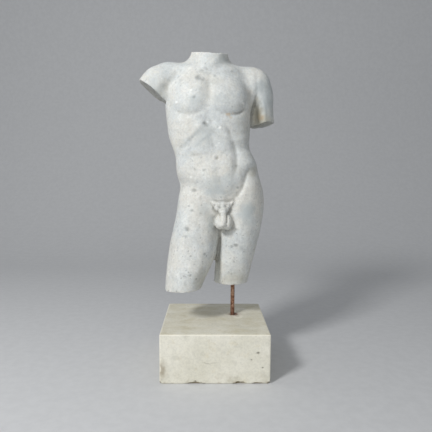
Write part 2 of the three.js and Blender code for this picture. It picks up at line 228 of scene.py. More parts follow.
def pitted(tree, pits, tooth):
    """The height of a grain with pits sunk in it."""
    return add(tree, "ShaderNodeMath", {0: pits, 1: -1.6, 2: tooth}, operation="MULTIPLY_ADD").outputs[0]


def bumps(tree, height, strength, depth):
    """A surface direction that follows the height, as if it were depth metres deep."""
    return add(tree, "ShaderNodeBump", {"Height": height, "Strength": strength, "Distance": depth}).outputs[0]


def give_surface(tree, inputs):
    """Ends a material with one Principled shader."""
    shader = add(tree, "ShaderNodeBsdfPrincipled", inputs)
    add(tree, "ShaderNodeOutputMaterial", {"Surface": shader.outputs[0]})


print("helpers for surfaces ready")


# %% Mesh helpers
def mesh_from(bm, name):
    """Turns a bmesh into a mesh of that name, and frees it."""
    mesh = bpy.data.meshes.new(name)
    bm.to_mesh(mesh)
    bm.free()
    return mesh


def read_points(mesh):
    """The mesh's points in mm and its outward directions, as two arrays."""
    points = np.empty(len(mesh.vertices) * 3, np.float32)
    mesh.vertices.foreach_get("co", points)
    normals = np.empty(len(mesh.vertices) * 3, np.float32)
    mesh.vertex_normals.foreach_get("vector", normals)
    return points.reshape(-1, 3).astype(float) / MM, normals.reshape(-1, 3).astype(float)


def write_points(mesh, points):
    """Moves the mesh's points to these places, given in mm."""
    mesh.vertices.foreach_set("co", (points * MM).astype(np.float32).ravel())
    mesh.update()


def write_values(mesh, name, values):
    """Stores one number for each point under a name, kept between 0 and 1."""
    layer = mesh.attributes.new(name, "FLOAT", "POINT")
    layer.data.foreach_set("value", np.clip(values, 0, 1).astype(np.float32))


print("helpers for meshes ready")


# %% Number helpers
def smoothstep(low, high, value):
    """0 at low or before it, 1 at high or past it, and a soft change between them."""
    t = np.clip((value - low) / (high - low), 0, 1)
    return t * t * (3 - 2 * t)


def noise_over(points, size, seed=0.0):
    """Noise from about -1 to 1 at each point, with forms about size mm wide."""
    return np.array([noise.noise(Vector(p) / size + Vector((seed, -seed, seed))) for p in points])


print("helpers for numbers ready")

# %% [markdown]
# ## Honed, weathered white marble
# White marble is tight calcite crystal, tinted by a little clay and graphite. That gives wide cool and warm clouds,
# a close grey mottling between 5 and 25 mm across, and dark and pale specks a few millimetres long. Worn by weather
# it is matt, with small pits. The specks come from a Voronoi pattern bent by noise, because noise alone gives blots
# without edges. What belongs to one place on the figure, such as a vein, a stain, or shade painted into a fold or
# onto the hanging arm, is written on the mesh itself, and the material reads it by name.

# %% Make the torso's marble
torso_marble, tree = new_material("weathered_white_marble")
place = add(tree, "ShaderNodeTexCoord").outputs["Object"]
bent = bent_by(tree, place, 7 * MM, 10 * MM)
print("torso marble: coordinates bent by up to 5 mm")

# %% Mix clouds and mottling
body = mixed(tree, noise_share(tree, place, 95 * MM, 0.36, 0.64), "#d2d6d5", "#dad9d2")
light_blots = noise_share(tree, place, 30 * MM, 0.46, 0.72, most=0.5)
body = mixed(tree, light_blots, body, "#eaece8")
dark_blots = noise_share(tree, bent, 21 * MM, 0.5, 0.76, most=0.45)
body = mixed(tree, dark_blots, body, "#b0b4b1")
body = mottled(tree, body, bent, 7 * MM, least=0.91, most=1.05)
print("clouds 95 mm, blots 30 and 21 mm, mottling 7 mm wide")

# %% Dark and pale specks
large = specks(tree, bent, 19 * MM, 10 * MM, 0.5)
small = specks(tree, bent, 9 * MM, 6 * MM, 0.45)
both = add(tree, "ShaderNodeMath", {0: large, 1: small}, operation="MAXIMUM").outputs[0]
in_thighs = height_share(tree, place, 0.66, 0.48, least=0.3, most=0.62)
body = mixed(tree, times(tree, both, in_thighs), body, "#6f7372")
pale = specks(tree, bent, 12 * MM, 7 * MM, 0.4)
body = mixed(tree, times(tree, pale, 0.6), body, "#f3f4f0")
print("dark specks up to 10 and 6 mm wide, stronger in the thighs, and pale ones up to 7 mm wide")

# %% Veins, stains, dirt and painted shade that are written on the mesh
vein_breaks = noise_share(tree, bent, 12 * MM, 0.36, 0.6, least=0.35)
body = laid_over(tree, body, [
    # The grey clouds, veins, warm film and dirt below also carry painted shade in places.
    ("grey_cloud_and_arm_shade", "#b9c0c0", None),
    ("vein_and_crease_shade", "#8f9799", vein_breaks),
    ("warm_film_and_shade", "#aaa48f", None),
    ("dirt_and_shade", "#77746a", None),
    ("dark_mark", "#666a68", None),
    ("fresh_chip", "#f6f7f3", None),
    ("ochre_stain", "#c89b54", vein_breaks),
])
print("torso colours: white, cool and warm clouds, specks, veins, dirt, stains")

# %% Surface of the torso's marble
tooth = grain(tree, place, 2.6 * MM, Detail=4.0, Roughness=0.7)
pits = specks(tree, bent, 13 * MM, 5 * MM, 0.4)
give_surface(tree, {
    "Base Color": body,
    "Roughness": noise_share(tree, place, 9 * MM, 0.3, 0.7, least=0.5, most=0.7),
    "Normal": bumps(tree, pitted(tree, pits, tooth), 0.6, 0.8 * MM),
    "IOR": STONE_IOR,
    "Specular IOR Level": 0.35,
    "Subsurface Weight": 0.1,
    "Subsurface Radius": (1.0, 0.8, 0.6),
    "Subsurface Scale": 4 * MM,
})
print(torso_marble.name, "has", len(tree.nodes), "nodes")

# %% [markdown]
# ## Torso
# The CAD torso has the true pose, outline and large muscles in facets about 14 mm wide. A sculptor would now go
# over it with finer tools, and so does this step. A copy of the solid is merged, its triangles are joined to
# quads, and Subdivision rounds it. A voxel Remesh then gives it an even skin of 3 mm squares, which can take
# small forms anywhere. The edges of the breaks are creased first, so that they stay sharp.

# %% Where the stone is broken
# Each break has a centre in mm, a direction that it faces, and a reach in mm.
BREAKS = {
    "neck": ((-22, 0, 1004), (0.035, -0.25, 1.0), 110),
    "raised_arm": ((-210, 10, 886), (-0.617, -0.1, -0.776), 85),
    "hanging_arm": ((157, 48, 784), (0.2, -0.1, -1.0), 60),
    "standing_leg": ((59, 29, 267), (0, 0, -1.0), 110),
    "relaxed_leg": ((-100, -40, 258), (0.05, 0, -1.0), 110),
}


def break_depth(points, name):
    """How far each point, in mm, lies inside the break's plane, and whether it is within the break's reach."""
    centre, out, reach = (np.array(v, float) for v in BREAKS[name])
    away = points - centre
    depth = -away @ (out / np.linalg.norm(out))
    return depth, (np.linalg.norm(away, axis=1) < reach) & (depth < 40)


print("breaks:", ", ".join(BREAKS))

# %% Copy the solid and crease its breaks
JOIN_FLATNESS, JOIN_SQUARENESS, SHARP = (math.radians(v) for v in (35, 50, 38))
NEAR_BREAK = 5  # mm
bm = bmesh.new()
bm.from_mesh(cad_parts["torso"].data)
bmesh.ops.remove_doubles(bm, verts=bm.verts, dist=0.002 * MM)
bmesh.ops.join_triangles(
    bm, faces=bm.faces, angle_face_threshold=JOIN_FLATNESS, angle_shape_threshold=JOIN_SQUARENESS
)
crease = bm.edges.layers.float.new("crease_edge")
for edge in bm.edges:
    middle = np.array([(edge.verts[0].co + edge.verts[1].co) / 2]) / MM
    near = any(abs(d[0]) < NEAR_BREAK and ok[0] for d, ok in (break_depth(middle, name) for name in BREAKS))
    if near and edge.calc_face_angle(0) > SHARP:
        edge[crease] = 1
rough_mesh = mesh_from(bm, "torso_rounded")
rounded = bpy.data.objects.new("torso_rounded", rough_mesh)
bpy.context.scene.collection.objects.link(rounded)
print("faces before rounding:", len(rough_mesh.polygons))

# %% Give it an even skin
SKIN_SQUARE = 3.15 * MM
subdivide = rounded.modifiers.new("rounding", "SUBSURF")
subdivide.levels = subdivide.render_levels = 2
skin = rounded.modifiers.new("skin", "REMESH")
skin.mode = "VOXEL"
skin.voxel_size = SKIN_SQUARE
evaluated = rounded.evaluated_get(bpy.context.evaluated_depsgraph_get())
torso_mesh = bpy.data.meshes.new_from_object(evaluated)
torso_mesh.name = "torso_carved"
bpy.data.objects.remove(rounded)
points, normals = read_points(torso_mesh)
print("faces of the skin:", len(torso_mesh.polygons), "and points:", len(points))

# %% [markdown]
# ### Even out the facets
# The CAD facets leave faint bumps. Pulling each point towards the mean of its neighbours about a dozen times rubs
# out waves shorter than about 20 mm and keeps the muscles. The edges of the breaks are left alone, the genitals
# nearly so, and the seams where limbs touch get more rounds.


# %% Means over neighbours, and places on the figure
def neighbour_mean(mesh):
    """A function that gives each point the mean of its neighbours' values."""
    ends = np.empty(len(mesh.edges) * 2, np.int32)
    mesh.edges.foreach_get("vertices", ends)
    a, b = ends.reshape(-1, 2).T
    n = len(mesh.vertices)
    count = np.maximum(np.bincount(a, minlength=n) + np.bincount(b, minlength=n), 1)

    def mean(values):
        columns = values.reshape(n, -1).T
        total = [np.bincount(a, column[b], n) + np.bincount(b, column[a], n) for column in columns]
        return (np.array(total) / count).T.reshape(values.shape)

    return mean


def within(centre, radii):
    """1 in the middle of an oval body in space, 0 outside it."""
    away = (points - np.array(centre, float)) / np.array(radii, float)
    return smoothstep(1.0, 0.6, np.linalg.norm(away, axis=1))


mean = neighbour_mean(torso_mesh)
print("smoothing helpers ready")

# %% Rub the skin smooth
ALL_ROUNDS, SEAM_ROUNDS = 13, 10
loose = 1 - 0.9 * within((25, -80, 478), (48, 50, 44))
for name in BREAKS:
    depth, ok = break_depth(points, name)
    loose = np.where(ok, loose * smoothstep(1.5, 9, depth), loose)
seams = np.maximum(within((6, 10, 400), (34, 60, 105)), within((116, 34, 800), (26, 62, 62)))
seams = np.maximum(seams, within((-164, 16, 828), (26, 80, 24)))
for rounds, weight in [(ALL_ROUNDS, loose), (SEAM_ROUNDS, seams * np.maximum(loose, 0.5))]:
    for _ in range(rounds):
        points += 0.5 * weight[:, None] * (mean(points) - points)
write_points(torso_mesh, points)
points, normals = read_points(torso_mesh)
print("points evened out:", int((loose > 0.5).sum()))

# %% [markdown]
# ### Carving strokes
# Each fine form is a stroke or a swelling that moves the skin along its own outward direction. It is drawn in the
# upright plane, in millimetres across and up from the middle of the block's foot, and acts on the front or the
# back of the figure. This is how relief is set out on stone: the place is marked on the front, and the depth
# follows from it.


# %% Measure from a curve
def curve_through(marks, steps=6):
    """A smooth curve through the marks, as a list of points."""
    marks = np.array(marks, float)
    ends = np.vstack([2 * marks[0] - marks[1], marks, 2 * marks[-1] - marks[-2]])
    curve = []
    for a, b, c, d in zip(ends, ends[1:], ends[2:], ends[3:]):
        square, cube = 2 * a - 5 * b + 4 * c - d, 3 * b - a - 3 * c + d
        for t in np.linspace(0, 1, steps, endpoint=False):
            curve.append(0.5 * (2 * b + (c - a) * t + square * t**2 + cube * t**3))
    return np.array(curve + [marks[-1]])


def along_curve(side, marks, width):
    """The points near a curve and how strongly a line of that width shows there, fading out at its ends."""
    curve = curve_through(marks)
    low, high = curve.min(0) - 3 * width, curve.max(0) + 3 * width
    flat = points[:, [0, 2]]
    near = np.flatnonzero((facing[side] > 0) & (flat > low).all(1) & (flat < high).all(1))
    best = np.full(len(near), np.inf)
    where = np.zeros(len(near))
    for i, (a, b) in enumerate(zip(curve, curve[1:])):
        along = b - a
        t = np.clip((flat[near] - a) @ along / (along @ along), 0, 1)
        away = np.linalg.norm(flat[near] - a - t[:, None] * along, axis=1)
        closer = away < best
        best[closer] = away[closer]
        where[closer] = (i + t[closer]) / (len(curve) - 1)
    fade = 0.3 + 0.7 * smoothstep(0, 0.22, where) * smoothstep(0, 0.22, 1 - where)
    return near, np.exp(-((best / width) ** 2)) * fade * facing[side][near]


print("curves ready")

# %% Which way each point faces
facing = {"front": smoothstep(0.05, 0.45, -normals[:, 1]), "back": smoothstep(0.05, 0.45, normals[:, 1])}
facing["front half"] = smoothstep(45, 30, points[:, 1])
raised = np.zeros(len(points))
pushed_back = np.zeros(len(points))
print("points on the front:", int((facing["front"] > 0.5).sum()))


# %% Strokes and swellings
def stroke(side, marks, width, rise):
    """Raises (rise over 0) or cuts (under 0) the skin by rise mm along a curve."""
    near, share = along_curve(side, marks, width)
    raised[near] += rise * share


def deepen(marks, width, depth):
    """Pushes the bottom of a crease straight back by depth mm along a curve on the front."""
    near, share = along_curve("front half", marks, width)
    pushed_back[near] += depth * share


def swell(side, centre, radii, rise):
    """Raises or cuts a soft oval patch by rise mm in its middle."""
    u = (points[:, 0] - centre[0]) / radii[0]
    v = (points[:, 2] - centre[1]) / radii[1]
    raised[:] += rise * np.exp(-(u * u + v * v)) * facing[side]


print("strokes ready")

# %% Chest and neck
swell("front", (-121, 838), (5, 5), 1.6)
swell("front", (80, 842), (5, 5), 1.6)
for marks, width, rise in [
    ([(-28, 915), (-27, 880), (-24, 840)], 10, -1.2),
    ([(-148, 852), (-132, 820), (-98, 805), (-60, 806), (-32, 824)], 8, -2.0),
    ([(-16, 828), (10, 810), (44, 804), (76, 812), (96, 842)], 8, -2.2),
    ([(50, 802), (76, 810), (92, 830)], 5, -1.6),
    ([(-38, 938), (-84, 946), (-126, 954)], 8, 1.3),
    ([(-14, 938), (34, 943), (84, 944)], 8, 1.3),
    ([(-44, 929), (-84, 934), (-118, 938)], 9, -1.2),
    ([(-12, 929), (34, 931), (76, 930)], 9, -1.2),
    ([(-32, 938), (-54, 966), (-70, 1002)], 8, 1.6),
    ([(-30, 938), (-8, 958), (16, 998)], 8, 1.4),
    ([(0, 938), (14, 952), (22, 972)], 9, -1.2),
    ([(-30, 946), (-29, 934)], 9, -2.0),
    ([(-118, 944), (-146, 908), (-166, 876)], 13, -2.6),
    ([(-104, 925), (-126, 896), (-142, 862)], 10, -1.0),
    ([(62, 934), (92, 902), (108, 862)], 10, -1.4),
]:
    stroke("front", marks, width, rise)
print("chest and neck carved")

# %% Belly, waist and hips
swell("front", (3, 671), (4.5, 5), -3.2)
for marks, width, rise in [
    ([(-6, 664), (-7, 674), (0, 681), (9, 680), (13, 672)], 2.6, 1.5),
    ([(-32, 796), (-33, 778), (-28, 764)], 6, -1.2),
    ([(-24, 762), (-16, 730), (-6, 696)], 8, -1.2),
    ([(4, 656), (10, 620), (15, 580)], 8, -0.8),
    ([(-74, 752), (-48, 745), (-24, 748)], 9, -0.9),
    ([(-14, 748), (10, 744), (36, 750)], 9, -0.9),
    ([(-124, 684), (-88, 678), (-46, 682), (-14, 678)], 7, -1.8),
    ([(10, 690), (34, 686), (58, 694)], 8, -1.0),
    ([(-72, 772), (-78, 730), (-76, 690)], 10, -1.2),
    ([(-62, 666), (-60, 630), (-50, 600)], 10, -1.0),
    ([(30, 772), (44, 738), (58, 700), (62, 655), (56, 608)], 9, -3.4),
    ([(-22, 794), (-50, 768), (-80, 738), (-108, 706)], 9, 1.4),
    ([(-14, 794), (14, 768), (38, 740), (62, 716)], 9, 1.4),
    ([(-112, 650), (-96, 624), (-70, 606)], 16, 1.6),
    ([(118, 644), (100, 630), (92, 612), (87, 597), (79, 575), (68, 560), (57, 545)], 8, -3.2),
    ([(70, 690), (92, 668), (104, 646)], 14, 1.4),
    ([(-128, 600), (-98, 592), (-60, 584), (-30, 570), (-12, 556)], 10, -1.6),
    ([(-18, 552), (18, 546), (52, 546)], 6, -1.2),
    ([(58, 718), (86, 708), (112, 692)], 9, -1.0),
]:
    stroke("front", marks, width, rise)
for x, z in [(-122, 786), (-117, 758), (-110, 730), (86, 786), (86, 758), (82, 732)]:
    swell("front", (x, z), (17, 8), 1.2)
print("belly, waist and hips carved")

# %% Thighs and arms
for marks, width, rise in [
    ([(112, 612), (98, 560), (78, 505), (58, 450), (44, 400)], 12, -1.4),
    ([(-112, 590), (-100, 545), (-70, 480), (-40, 420), (-30, 380)], 14, -1.2),
    ([(132, 540), (124, 460), (104, 360)], 13, -1.2),
    ([(-134, 520), (-142, 440), (-146, 360)], 13, -1.0),
    ([(-50, 400), (-48, 350), (-62, 300)], 16, 1.6),
    ([(26, 440), (25, 380), (26, 320), (27, 272)], 7, 2.2),
    ([(10, 410), (9, 370), (9, 320), (10, 272)], 7, -2.4),
    ([(127, 946), (128, 905), (129, 868)], 7, -1.8),
    ([(129, 872), (122, 842), (116, 815), (113, 780)], 5, -3.5),
    ([(134, 872), (148, 844), (156, 816), (157, 788)], 6, 3.0),
    ([(166, 906), (170, 868), (172, 830)], 9, -1.0),
    ([(-212, 930), (-196, 905), (-184, 880)], 10, -1.0),
]:
    stroke("front", marks, width, rise)
deepen([(14, 450), (14, 410), (11, 375), (6, 345), (2, 318)], 6, 12)
deepen([(122, 852), (117, 826), (113, 800), (112, 776)], 4, 8)
deepen([(126, 860), (131, 828), (134, 796), (134, 770)], 14, 14)
print("thighs and arms carved")

# %% Back
for marks, width, rise in [
    ([(-25, 950), (-26, 860), (-20, 770), (-4, 700), (12, 640), (18, 606)], 11, -2.0),
    ([(-50, 905), (-68, 870), (-76, 830), (-66, 800)], 9, -2.0),
    ([(0, 905), (20, 868), (28, 830), (16, 800)], 9, -2.0),
    ([(-40, 930), (-86, 918), (-132, 926)], 10, 1.6),
    ([(-12, 930), (36, 914), (82, 920)], 10, 1.6),
    ([(-118, 860), (-100, 790), (-72, 720)], 12, -1.2),
    ([(70, 856), (60, 790), (52, 720)], 12, -1.2),
    ([(19, 592), (19, 540), (18, 480), (15, 440)], 7, -2.4),
    ([(26, 468), (70, 460), (112, 474), (136, 494)], 8, -2.0),
    ([(6, 444), (-40, 434), (-84, 446), (-112, 468)], 8, -2.0),
    ([(-12, 628), (-2, 612), (19, 598)], 8, -1.0),
    ([(50, 628), (38, 612), (19, 598)], 8, -1.0),
    ([(70, 440), (62, 360), (54, 290)], 12, -1.4),
    ([(-54, 410), (-74, 340), (-96, 280)], 12, -1.4),
]:
    stroke("back", marks, width, rise)
swell("back", (-14, 622), (8, 7), -1.8)
swell("back", (44, 622), (8, 7), -1.8)
print("back carved")

# %% [markdown]
# ### Hair and genitals
# The hair over the groin is one raised pad with a straight upper edge and two wings, cut into short lumpy locks and
# drilled between them, as an ancient carver would do it. Time has worn the locks into each other, so they are laid
# out by loose rows with a little chance in each, from a fixed seed.

# %% Cut the locks
x, z = points[:, 0], points[:, 2]
down = np.clip((538 - z) / 36, 0, 1)
half_width = 37 * (1 - down) ** 0.8 + 13 * down
top = 536 + 4 * smoothstep(16, 38, abs(x - 21))
pad = smoothstep(0, 4, half_width - abs(x - 21)) * smoothstep(1, -3, z - top) * smoothstep(498, 506, z)
pad *= facing["front"]
raised += 2.6 * pad + 1.6 * smoothstep(22, 14, abs(x - 18)) * pad
rng = np.random.default_rng(5)
for row_height, row_left, row_right, locks in [(530, -12, 56, 7), (521, -6, 48, 6), (512, 2, 40, 5)]:
    for n in range(locks):
        middle = row_left + (row_right - row_left) * (n + 0.5) / locks
        centre = np.array([middle, row_height]) + rng.uniform(-2.5, 2.5, 2)
        size, rise = rng.uniform(3.8, 5.2), rng.uniform(2.2, 4.2)
        raised += pad * rise * np.exp(-((np.hypot(x - centre[0], (z - centre[1]) / 1.25) / size) ** 2))
for hole in [(-8, 514), (-3, 526), (8, 506), (9, 521), (21, 508), (28, 524), (33, 507), (44, 528)]:
    raised -= 4.5 * pad * np.exp(-((np.hypot(x - hole[0], z - hole[1]) / 2.4) ** 2))
for marks, width, rise in [
    ([(25, 506), (25, 490), (24, 474)], 8.5, 3.0),
    ([(36, 502), (36, 484), (35, 468)], 2.6, -5.0),
    ([(12, 502), (14, 487), (17, 472)], 2.6, -2.6),
    ([(20, 464), (28, 461), (37, 465)], 2.4, -3.0),
]:
    stroke("front", marks, width, rise)
swell("front", (45, 509), (7, 8), -4.0)
print("locks cut on the pad")

# %% [markdown]
# ### Breaks, wear and unevenness
# Marble breaks along its crystals, so a broken face is coarse and its edge is nicked. Elsewhere the surface is
# never quite true: rasps and weather leave shallow waves a few centimetres apart and finer ones a few millimetres
# apart. Three-dimensional noise gives both, because it has no direction and no seam.

# %% Roughen the breaks and nick their edges
raised += 0.5 * noise_over(points, 36) + 0.28 * noise_over(points, 12, 3.1) - 0.3
broken = np.zeros(len(points))
rim = np.zeros(len(points))
for name in BREAKS:
    depth, ok = break_depth(points, name)
    out = np.array(BREAKS[name][1]) / np.linalg.norm(BREAKS[name][1])
    face = smoothstep(0.7, 0.9, normals @ out) * smoothstep(6, 3, abs(depth)) * ok
    side = smoothstep(7, 1, abs(depth)) * ok * smoothstep(0.75, 0.55, normals @ out)
    broken = np.maximum(broken, face)
    rim = np.maximum(rim, smoothstep(3.5, 0.5, abs(depth)) * ok)
    chosen = np.flatnonzero((face > 0) | (side > 0))
    coarse = noise_over(points[chosen], 13, 5.0) + 0.6 * noise_over(points[chosen], 5.5, 9.0)
    raised[chosen] -= face[chosen] * np.clip(1.1 + 1.9 * coarse, 0, 4)
    nicks = np.clip(noise_over(points[chosen], 8, 12.0) - 0.2, 0, 1)
    raised[chosen] -= side[chosen] * 5 * nicks
print("points on broken faces:", int((broken > 0.5).sum()))

# %% Small pits and the raised lips beside them
for x, z, size, rise in [
    (-35, 775, 6, -1.8),
    (-56, 912, 5, -0.9),
    (-43, 907, 4, -0.8),
    (-67, 851, 4, -1.2),
    (5, 764, 3.5, -1.1),
    (-77, 872, 4, 1.0),
    (12, 762, 4, 1.2),
    (-27, 778, 3.5, 1.4),
]:
    swell("front", (x, z), (size, size), rise)
print("pits cut")

# %% Move the skin, and keep it inside the solid's box
moved = points + normals * raised[:, None]
moved[:, 1] += pushed_back
low, high = (np.array(corner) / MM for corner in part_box("torso"))
moved = np.clip(moved, low + 0.05, high - 0.05)
write_points(torso_mesh, moved)
print("deepest cut and highest form in mm:", round(raised.min(), 1), round(raised.max(), 1))

# %% [markdown]
# ### Painted shade, dirt, veins and stains
# Shade is painted into the colour where the surface is hollow, so the mesh is asked how hollow it is at each point:
# its neighbours then lie above it. That, and the veins, clouds, stains and painted shade that belong to one place, go
# on the mesh as named values. Their edges are made ragged by noise, because stone never stains in clean ovals.


# %% Measure the hollows
def hollowness(mesh, mean, rounds=3):
    """How far each point lies below the mean of its neighbours, evened out over a few rounds, in mm."""
    where, outward = read_points(mesh)
    wide = where
    for _ in range(rounds):
        wide = mean(wide)
    return mean(mean(((wide - where) * outward).sum(1)))


hollow = hollowness(torso_mesh, mean)
points, normals = read_points(torso_mesh)
uneven = noise_over(points, 24, 7.0) + 0.5 * noise_over(points, 9, 2.0)
print("hollows from", round(hollow.min(), 2), "to", round(hollow.max(), 2), "mm")


# %% Patches and lines of colour
def patches(rows):
    """The strongest of some ovals with ragged edges: rows of side, centre, radii and strength."""
    values = np.zeros(len(points))
    for side, centre, radii, strength in rows:
        u = (points[:, 0] - centre[0]) / radii[0]
        v = (points[:, 2] - centre[1]) / radii[1]
        values = np.maximum(values, strength * smoothstep(1.15, 0.2, np.hypot(u, v) + 0.45 * uneven) * facing[side])
    return values


def lines(rows):
    """The strongest of some soft lines: rows of side, marks, width and strength."""
    values = np.zeros(len(points))
    for side, marks, width, strength in rows:
        near, share = along_curve(side, marks, width)
        values[near] = np.maximum(values[near], strength * share * np.clip(0.8 + 0.7 * uneven[near], 0, 1.3))
    return values


facing = {"front": smoothstep(-0.1, 0.3, -normals[:, 1]), "back": smoothstep(-0.1, 0.3, normals[:, 1])}
facing["left"] = smoothstep(0.1, 0.5, normals[:, 0])
facing["front half"] = smoothstep(60, 45, points[:, 1])
print("patches and lines ready")

# %% Write the colours of the torso
grey_cloud_and_arm_shade = patches([
    ("front", (-60, 842), (34, 30), 0.55),
    ("front", (8, 846), (30, 26), 0.4),
    ("front", (-40, 735), (38, 34), 0.5),
    ("front", (6, 588), (58, 40), 0.55),
    ("front", (98, 506), (32, 44), 0.8),
    ("front", (-190, 900), (28, 30), 0.45),
    # Painted shade: this patch and the next darken the hanging arm where it lies in shade beside the chest. The other
    # patches are grey clouds in the stone.
    ("front", (140, 896), (20, 34), 0.6),
    ("front", (168, 850), (34, 90), 0.7),
    ("front", (16, 975), (30, 30), 0.45),
    ("front", (-14, 468), (18, 30), 0.5),
    ("front", (-34, 516), (26, 22), 0.35),
    ("back", (-70, 760), (50, 60), 0.4),
    ("back", (70, 520), (46, 60), 0.4),
    ("back", (-60, 360), (40, 70), 0.35),
])
vein_and_crease_shade = lines([
    ("front", [(-24, 776), (-54, 752), (-84, 724), (-120, 694)], 5, 0.6),
    ("front", [(-2, 752), (-34, 730), (-66, 706), (-96, 688)], 4, 0.4),
    # Painted shade: this line and the next darken the groove between the chest and the shoulder and the crease across
    # the waist.
    ("front", [(-118, 948), (-146, 908), (-168, 880)], 8, 0.35),
    ("front", [(-122, 676), (-84, 672), (-40, 676)], 4, 0.3),
    ("back", [(-90, 880), (-40, 820), (-30, 740)], 6, 0.4),
    ("back", [(90, 640), (40, 600), (20, 560)], 6, 0.35),
])
write_values(torso_mesh, "grey_cloud_and_arm_shade", grey_cloud_and_arm_shade)
write_values(torso_mesh, "vein_and_crease_shade", vein_and_crease_shade)
print("clouds and veins written")

# %% Write the marks and stains of the torso
warm_film_and_shade = patches([
    # Warm film in the stone, and painted shade: the first patch darkens the flank turned from the lamp, the second
    # the side of the waist, and the third and fourth the hanging arm's inner face beside the chest.
    ("left", (110, 760), (60, 110), 0.2),
    ("front", (118, 632), (22, 26), 0.35),
    ("front", (150, 800), (34, 18), 0.6),
    ("front half", (132, 806), (22, 56), 0.75),
    ("front", (-48, 300), (26, 50), 0.3),
    ("front", (58, 292), (50, 28), 0.3),
    ("front", (60, 640), (30, 40), 0.2),
    ("front", (-20, 900), (40, 50), 0.12),
    ("back", (0, 480), (90, 60), 0.2),
])
marks = patches([
    ("front", (x, z), (size, 0.8 * size), strength)
    for x, z, size, strength in [
        (-55, 911, 12, 0.42), (-42, 907, 8, 0.38), (-6, 919, 7, 0.35), (-34, 957, 5, 0.5), (48, 937, 7, 0.35),
        (-124, 900, 5, 0.3), (-67, 851, 7, 0.45), (-38, 776, 8, 0.42), (-28, 767, 5, 0.4), (5, 764, 4, 0.3),
        (-68, 572, 9, 0.5), (-73, 510, 6, 0.5), (-88, 453, 11, 0.55), (-92, 430, 8, 0.4), (-34, 377, 6, 0.5),
        (68, 581, 7, 0.55), (65, 400, 7, 0.55), (52, 396, 6, 0.4), (-96, 311, 5, 0.5), (-77, 312, 5, 0.4),
        (65, 450, 6, 0.45), (62, 648, 6, 0.4), (-10, 514, 5, 0.5), (-64, 636, 6, 0.35), (-36, 634, 6, 0.35),
    ]
])
ochre = patches([
    ("front", (37, 802), (9, 6), 0.7),
    ("front", (51, 806), (7, 5), 0.5),
    ("front", (44, 793), (6, 4), 0.35),
    ("front", (144, 806), (11, 11), 0.35),
])
for name, values in [("warm_film_and_shade", warm_film_and_shade), ("dark_mark", marks), ("ochre_stain", ochre)]:
    write_values(torso_mesh, name, values)
print("films, marks and stains written")

# %% Write the painted shade and dirt, and the pale chips and edges
patchy = np.clip(0.5 + 0.5 * uneven, 0, 1)
inside = broken
for _ in range(5):
    inside = mean(inside)
pale_rim = np.maximum(rim * (1 - broken), broken * smoothstep(0.95, 0.7, inside))
fresh = patches([
    ("front", (x, z), (5, 4), 0.9)
    for x, z in [(-77, 872), (-121, 838), (-27, 779), (12, 762), (-78, 613), (82, 838)]
])
fresh = np.maximum(fresh, 0.6 * pale_rim * patchy)
# Painted shade: darker where the surface is hollow, as in the armpit slit and the drilled holes. The broken faces are
# darkened too, partly by dirt and partly by painted shade.
dirt_and_shade = 0.6 * smoothstep(0.04, 0.5, hollow) * (0.6 + 0.4 * patchy) + broken * (0.25 + 0.35 * patchy)
write_values(torso_mesh, "fresh_chip", fresh)
write_values(torso_mesh, "dirt_and_shade", np.minimum(dirt_and_shade, 0.8))
print("dirt and chips written")


# %% Put the torso in the scene
def place_piece(mesh, name, material, node):
    """A finished mesh as a piece that stands for a CAD node and rides on the one body."""
    mesh.materials.clear()
    mesh.materials.append(material)
    mesh.polygons.foreach_set("use_smooth", [True] * len(mesh.polygons))
    piece = bpy.data.objects.new(name, mesh)
    bpy.context.scene.collection.objects.link(piece)
    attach(piece, "root")
    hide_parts(node)
    print(name, "has", len(mesh.polygons), "faces")


place_piece(torso_mesh, "carved_torso", torso_marble, "torso")

# %% [markdown]
# ## Honed cream marble
# The block is a plainer, warmer stone, sawn and then honed. A thin olive film of old dirt lies over it, thickest on
# top, where it was wiped in slanting streaks. Iron in the stone has stained its foot brown. Its arrises are rubbed
# pale, and a few dark pits are left where softer grains fell out. The streaks are a noise whose coordinates are
# turned and squeezed, so that its forms come out long.

# %% Make the block's marble
block_marble, tree = new_material("honed_cream_marble")
place = add(tree, "ShaderNodeTexCoord").outputs["Object"]
bent = bent_by(tree, place, 9 * MM, 9 * MM)
body = mixed(tree, noise_share(tree, place, 90 * MM, 0.34, 0.66), "#e4e1d1", "#eeebdd")
body = mixed(tree, noise_share(tree, bent, 34 * MM, 0.5, 0.74, most=0.4), body, "#c9c7b9")
body = mixed(tree, noise_share(tree, bent, 26 * MM, 0.56, 0.78, most=0.35), body, "#cdbf95")
slant = {"Vector": bent, "Rotation": (0, 0, math.radians(-48)), "Scale": (0.4, 1.0, 1.0)}
turned = add(tree, "ShaderNodeMapping", slant, vector_type="POINT").outputs[0]
streaks = noise_share(tree, turned, 34 * MM, 0.36, 0.7, most=0.6, least=0.15)
print("block: cream with grey and ochre clouds")

# %% Films, stains and pits of the block
body = mottled(tree, body, bent, 6 * MM, least=0.94, most=1.04)
pits = specks(tree, bent, 24 * MM, 5 * MM, 0.3)
body = mixed(tree, times(tree, pits, 0.6), body, "#7d745d")
body = laid_over(tree, body, [
    ("film", "#c2b78f", streaks),
    ("vein_and_crease_shade", "#a39d8a", None),
    ("dirt_and_shade", "#7f6c47", None),
    ("pit", "#4f4839", None),
    ("rubbed", "#f6f2e2", None),
    ("rust", "#74462c", None),
])
print("block: films, pits, rubbed arrises and rust marks")

# %% Surface of the block
tooth = grain(tree, place, 4 * MM, Detail=4.0, Roughness=0.65)
give_surface(tree, {
    "Base Color": body,
    "Roughness": noise_share(tree, place, 60 * MM, 0.3, 0.7, least=0.42, most=0.6),
    "Normal": bumps(tree, pitted(tree, pits, tooth), 0.4, 0.6 * MM),
    "IOR": STONE_IOR,
})
print(block_marble.name, "has", len(tree.nodes), "nodes")

